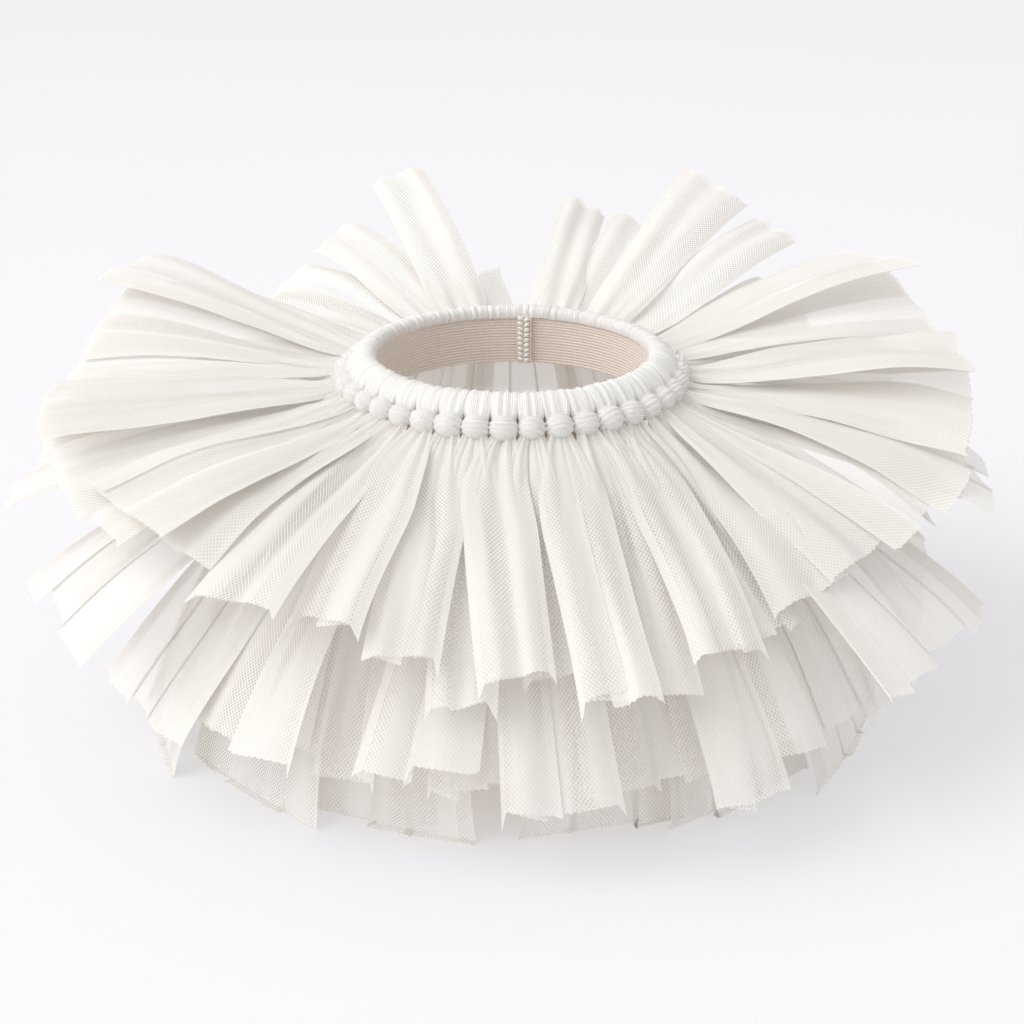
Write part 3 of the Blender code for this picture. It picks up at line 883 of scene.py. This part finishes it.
def make_knot(name, index, dice):
    """One wound knot under the elastic."""
    angle = strip_angle(index)
    slant = radians(dice.choice((-1, 1)) * dice.choice(WRAP_SLANTS))
    wraps = dice.choice(WRAPS)
    size = dice.uniform(*KNOT_SIZES)
    waver = dice.uniform(0, tau)
    bpy.ops.mesh.primitive_uv_sphere_add(segments=28, ring_count=42, radius=1)
    knot = bpy.context.object
    knot.name = name
    for vertex in knot.data.vertices:
        across, deep, along = vertex.co
        wrap = along * cos(slant) + across * sin(slant)
        wrap += WRAP_WAVER[0] * sin(WRAP_WAVER[1] * across + waver)
        crease = abs(sin(pi * wraps * (wrap + 1) / 2)) ** WRAP_CREASE
        swell = size * (1 + WRAP_DEPTH / KNOT_HALF.x * (crease - WRAP_MIDDLE))
        side = across * KNOT_HALF.x * swell
        out = deep * KNOT_HALF.y * swell
        down = -along * KNOT_HALF.z * size
        radius = KNOT_RADIUS + down * cos(KNOT_DIP) + out * sin(KNOT_DIP)
        height = KNOT_HEIGHT - down * sin(KNOT_DIP) + out * cos(KNOT_DIP)
        vertex.co = from_plane(angle, radius, side, height)
    for loop in knot.data.uv_layers.active.data:
        loop.uv = (loop.uv[1] * KNOT_CLOTH[0], loop.uv[0] * KNOT_CLOTH[1])
    knot.data.materials.append(gathered_tulle)
    bpy.ops.object.shade_smooth()
    return knot


print("knots:", round(2000 * KNOT_HALF.x, 1), "mm across, at a height of", KNOT_HEIGHT, "m")

# %% [markdown]
# ## Forty strips
#
# Each strip's two tails, gather and knot are one piece of cloth, so they are joined. The piece takes the
# place of its solid.

# %% Helpers for whole pieces
MERGE = 0.00001  # points nearer than this are one point


def select_only(*pieces):
    """Selects these pieces and nothing else, and makes the first one active."""
    bpy.ops.object.select_all(action="DESELECT")
    for piece in pieces:
        piece.select_set(True)
    bpy.context.view_layer.objects.active = pieces[0]


def face_outwards(piece):
    """Merges a closed piece's doubled points and turns all of its faces outwards."""
    select_only(piece)
    bpy.ops.object.mode_set(mode="EDIT")
    bpy.ops.mesh.select_all(action="SELECT")
    bpy.ops.mesh.remove_doubles(threshold=MERGE)
    bpy.ops.mesh.normals_make_consistent(inside=False)
    bpy.ops.object.mode_set(mode="OBJECT")


def join(pieces, name):
    """Makes one piece of several, under a new name."""
    select_only(*pieces)
    bpy.ops.object.join()
    pieces[0].name = name
    return pieces[0]


print("points merge within", MERGE * 1000, "mm")

areas = []
for index in range(STRIP_COUNT):
    number = f"{index + 1:02d}"
    same_dice = random.Random(index)
    pleat_dice = random.Random(1000 + index)
    upper = upper_tail(index, same_dice)
    lower = lower_tail(index, same_dice)
    lower_widths = LOWEST_WIDTHS if lower.on_floor else MIDDLE_WIDTHS
    gather = make_gather(f"gather_{number}", index, pleat_dice)
    knot = make_knot(f"knot_{number}", index, pleat_dice)
    for closed in (gather, knot):
        face_outwards(closed)
    tails = [
        make_tail(f"upper_{number}", index, upper, UPPER_WIDTHS, pleat_dice),
        make_tail(f"lower_{number}", index, lower, lower_widths, pleat_dice),
    ]
    strip = join([*tails, gather, knot], f"strip_{number}_cloth")
    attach(strip, "root")
    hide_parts(f"tulle_strip_{number}")
    areas.append(sum(p.area for p in strip.data.polygons))
print("strips:", len(areas), "area of cloth, m2:", round(min(areas), 4), "to", round(max(areas), 4))

# %% [markdown]
# ## The elastic
#
# The waistband is a flat ribbed elastic, 25 mm wide. Rubber cords run along it inside woven polyester, and
# each shows as a rib about 1.5 mm high. It is a grid rolled into a ring, with the ribs raised on its face.
# The covering thread is too fine for a mesh, so a pattern of small waves gives it.

# %% The elastic's finish
WEFT = 0.0010  # one turn of the covering thread
RIB_PITCH = 0.0015  # from one rubber cord to the next

# Covered rubber: matt, with a weak sheen; beige, with painted shade in its grooves and paler ribs.
weave, on_elastic = new_finish(
    "woven_polyester_elastic", "UV", Roughness=0.75, Sheen_Weight=0.15, Sheen_Roughness=0.5,
    Specular_IOR_Level=0.3,
)
weft_wave = add_node(
    weave, "ShaderNodeTexWave", {"Vector": on_elastic}, bands_direction="X",
    sockets={"Scale": WAVE_REPEAT / WEFT, "Distortion": 0.6, "Detail": 1.0}, out="Fac",
)
rib_wave = add_node(
    weave, "ShaderNodeTexWave", {"Vector": on_elastic}, bands_direction="Y",
    sockets={"Scale": WAVE_REPEAT / RIB_PITCH}, out="Fac",
)
weave_height = add_node(weave, "ShaderNodeMath", {0: weft_wave, 1: rib_wave}, operation="MULTIPLY")
# The elastic's own beige, with painted shade: darker where the weave is low, in the grooves between ribs
# and weft turns.
elastic_tone_with_painted_shade = add_node(
    weave, "ShaderNodeMix", {0: weave_height}, data_type="RGBA",
    sockets={6: linear("#E0D0C4"), 7: linear("#FEF8F2")}, out=2,
)
elastic_relief = add_node(
    weave, "ShaderNodeBump", {"Height": weave_height}, sockets={"Strength": 0.5, "Distance": 0.0003}
)
feed(weave, Base_Color=elastic_tone_with_painted_shade, Normal=elastic_relief)
print("finish:", weave.name)

# %% The elastic
RIBS = 17
RIB_DEPTH = 0.00040
RIB_ROUND = 0.7  # the lower, the flatter a rib's top and the narrower the groove
RIB_POINTS = 4
BAND_STEPS = 160
LAP_WIDTH = 0.008
LAP_TURN = 0.0065  # the lap's middle is this far to the right of the back
LAP_WALL = 0.0014
LAP_STEPS = 8
LAP_DROP = 0.0002
PEEL_ANGLE = radians(-118)  # where the band stands off the roll at the wearer's right
PEEL_WIDTH = radians(16)
PEEL_DEPTH = 0.0016

seam_angle = pi - LAP_TURN / WAIST_RADIUS
band_foot = ELASTIC_TOP - ELASTIC_HEIGHT


def rib(height):
    return RIB_DEPTH * abs(sin(pi * RIBS * height / ELASTIC_HEIGHT)) ** RIB_ROUND


def peel(angle):
    """How far the band's top edge leans in at this angle."""
    away = (angle - PEEL_ANGLE + pi) % tau - pi
    return PEEL_DEPTH * exp(-((away / PEEL_WIDTH) ** 2))


def make_band(name, start, turn, steps, radius, drop=0.0):
    """A band round the inside of the waist, from start through turn, with its ribs inwards."""
    rows = RIBS * RIB_POINTS
    points, cloth = [], []
    for k in range(rows + 1):
        height = ELASTIC_HEIGHT * k / rows
        for j in range(steps + 1):
            angle = start + turn * j / steps
            inward = rib(height) + peel(angle) * smooth(height / ELASTIC_HEIGHT)
            points.append(from_plane(angle, radius - inward, 0.0, band_foot - drop + height))
            cloth.append((radius * turn * j / steps, height))
    band = new_grid(name, steps, rows)
    place_grid(band, points, cloth)
    band.data.materials.append(weave)
    return band


def thicken(piece, wall):
    """Gives a sheet a wall on the side away from the waist's axis."""
    select_only(piece)
    solid = piece.modifiers.new("wall", "SOLIDIFY")
    solid.thickness = wall
    solid.offset = -1
    bpy.ops.object.modifier_apply(modifier="wall")
    bpy.ops.object.shade_smooth_by_angle(angle=SHARP_EDGE)


band = make_band("elastic_ring", 0.0, tau, BAND_STEPS, WAIST_RADIUS + RIB_DEPTH)
lap_turn = LAP_WIDTH / WAIST_RADIUS
lap_radius = WAIST_RADIUS - LAP_WALL + RIB_DEPTH
lap = make_band("elastic_lap", seam_angle - lap_turn / 2, lap_turn, LAP_STEPS, lap_radius, LAP_DROP)
for piece in (band, lap):
    face_outwards(piece)
    thicken(piece, ELASTIC_WALL)
elastic = join([band, lap], "ribbed_elastic")
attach(elastic, "root")
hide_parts("elastic_band")
print("elastic:", len(elastic.data.polygons), "faces")

# %% [markdown]
# ## The seam's stitches
#
# The elastic's ends lap at the back and are sewn down with a fine zigzag and two rows of thick stitches.
# The zigzag is one round thread, made into a mesh; each thick stitch is a small slanted bead.

# %% The thread's finish
PLY = 0.0005  # one turn of the thread's plies

# Spun polyester: matt and a little fuzzy, nearly as white as the tulle.
thread_finish, on_thread = new_finish(
    "spun_polyester_thread", "Object", Roughness=0.6, Sheen_Weight=0.3, Sheen_Roughness=0.4,
    Specular_IOR_Level=0.35,
)
thread_twist = add_node(
    thread_finish, "ShaderNodeTexWave", {"Vector": on_thread}, bands_direction="DIAGONAL",
    sockets={"Scale": WAVE_REPEAT / PLY}, out="Fac",
)
thread_tone = add_node(
    thread_finish, "ShaderNodeMix", {0: thread_twist}, data_type="RGBA",
    sockets={6: linear("#F1EBE4"), 7: linear("#FDFBF8")}, out=2,
)
feed(thread_finish, Base_Color=thread_tone)
print("finish:", thread_finish.name)

# %% Stitches
NEEDLE_ROW = -0.0033  # where the fine zigzag runs, from the middle of the lap
NEEDLE_SWING = 0.0005
NEEDLE_THREAD = 0.00028
NEEDLE_STITCHES = 13
NEEDLE_MARGIN = 0.0012  # from the elastic's edges
BEAD_ROWS = (-0.0011, 0.0021)
BEADS = 9
BEAD_HALF = (0.00150, 0.00085, 0.00105)
BEAD_TILT = radians(28)
BEAD_MARGIN = 0.0016
ROW_SHIFT = 0.25  # how much higher the second row's beads lie, in beads
SUNK = 0.0003  # the thread is drawn into the cloth

lap_face = WAIST_RADIUS - LAP_WALL - SUNK


def seam_height(share, margin):
    """A height on the lap, by its share of the way up between the margins."""
    return band_foot + margin + (ELASTIC_HEIGHT - 2 * margin) * share


def make_needle_row():
    """The fine zigzag: one thread that swings from side to side."""
    curve = bpy.data.curves.new("needle_row", "CURVE")
    curve.dimensions = "3D"
    curve.bevel_depth = NEEDLE_THREAD
    curve.bevel_resolution = 2
    spline = curve.splines.new("POLY")
    spline.points.add(2 * NEEDLE_STITCHES)
    for k, point in enumerate(spline.points):
        side = NEEDLE_ROW + NEEDLE_SWING * (1 if k % 2 else -1)
        height = seam_height(k / (2 * NEEDLE_STITCHES), NEEDLE_MARGIN)
        point.co = (*from_plane(seam_angle + side / WAIST_RADIUS, lap_face, 0.0, height), 1.0)
    needle_row = bpy.data.objects.new("needle_row", curve)
    bpy.context.scene.collection.objects.link(needle_row)
    return needle_row


def make_bead(row, k):
    """One thick stitch: a round ball drawn long and slanted."""
    height = seam_height((k + ROW_SHIFT * row) / (BEADS - 1 + ROW_SHIFT), BEAD_MARGIN)
    tilt = BEAD_TILT * (1 if row else -1)
    bpy.ops.mesh.primitive_uv_sphere_add(segments=14, ring_count=9, radius=1)
    bead = bpy.context.object
    bead.name = f"bead_{row}_{k}"
    for vertex in bead.data.vertices:
        across, deep, up = (c * half for c, half in zip(vertex.co, BEAD_HALF))
        turned = BEAD_ROWS[row] + across * cos(tilt) - up * sin(tilt)
        rise = across * sin(tilt) + up * cos(tilt)
        angle = seam_angle + turned / WAIST_RADIUS
        vertex.co = from_plane(angle, lap_face + deep, 0.0, height + rise)
    return bead


threads = [make_needle_row()]
threads += [make_bead(row, k) for row in range(len(BEAD_ROWS)) for k in range(BEADS)]
select_only(*threads)
bpy.ops.object.convert(target="MESH")
for thread in threads:
    thread.data.materials.append(thread_finish)
stitches = join(threads, "seam_stitches")
bpy.ops.object.shade_smooth()
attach(stitches, "root")
print("stitches:", len(stitches.data.polygons), "faces")
